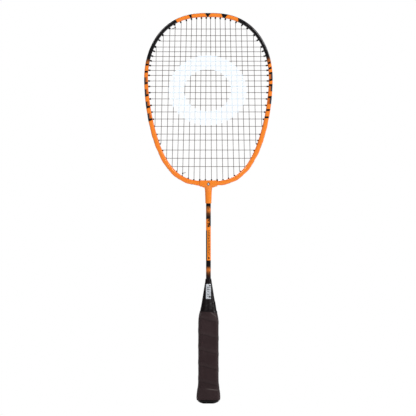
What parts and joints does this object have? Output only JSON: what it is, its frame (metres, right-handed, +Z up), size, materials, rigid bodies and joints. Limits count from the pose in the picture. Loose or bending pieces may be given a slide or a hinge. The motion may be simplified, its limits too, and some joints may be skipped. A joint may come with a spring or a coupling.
{
  "type": "badminton racket",
  "caption": "Badminton racket with an oval strung head, an outside T-joint, a thin straight shaft, a tapered cone and a wrapped octagonal grip with a flared butt.",
  "frame": {"origin": "centre of the butt cap's flat end", "axes": "+Z up along the shaft to the head's top, +X across the head, -Y out of the face of the string bed"},
  "size_m": [0.1908, 0.0322, 0.58],
  "materials": {
    "paint": "orange and black gloss paint under clear lacquer on an aluminium tube",
    "joint": "orange gloss paint on moulded plastic",
    "shaft": null,
    "cone": "glossy black moulded plastic",
    "core": "bare wood, hidden under the grip",
    "cap": "black moulded plastic, satin",
    "grip": "brownish black grained and perforated synthetic leather tape",
    "tape": "thin black adhesive tape, satin",
    "label": "silvery white printed film",
    "string": "dark grey twisted nylon with a pale stencilled patch",
    "grommet": "black moulded nylon"
  },
  "bodies": {
    "root": {"head_frame": "paint", "throat_joint": "joint", "shaft": "shaft", "string": "string", "handle_core": "core", "handle_cone": "cone", "butt_cap": "cap", "grip_tape": "grip", "finishing_tape": "tape", "cone_label": "label", "grommet_top": "grommet", "grommet_left_01": "grommet", "grommet_left_02": "grommet", "grommet_left_03": "grommet", "grommet_left_04": "grommet", "grommet_left_05": "grommet", "grommet_left_06": "grommet", "grommet_left_07": "grommet", "grommet_left_08": "grommet", "grommet_left_09": "grommet", "grommet_left_10": "grommet", "grommet_left_11": "grommet", "grommet_left_12": "grommet", "grommet_left_13": "grommet", "grommet_left_14": "grommet", "grommet_left_15": "grommet", "grommet_left_16": "grommet", "grommet_left_17": "grommet", "grommet_left_18": "grommet", "grommet_right_01": "grommet", "grommet_right_02": "grommet", "grommet_right_03": "grommet", "grommet_right_04": "grommet", "grommet_right_05": "grommet", "grommet_right_06": "grommet", "grommet_right_07": "grommet", "grommet_right_08": "grommet", "grommet_right_09": "grommet", "grommet_right_10": "grommet", "grommet_right_11": "grommet", "grommet_right_12": "grommet", "grommet_right_13": "grommet", "grommet_right_14": "grommet", "grommet_right_15": "grommet", "grommet_right_16": "grommet", "grommet_right_17": "grommet", "grommet_right_18": "grommet"}
  },
  "joints": []
}
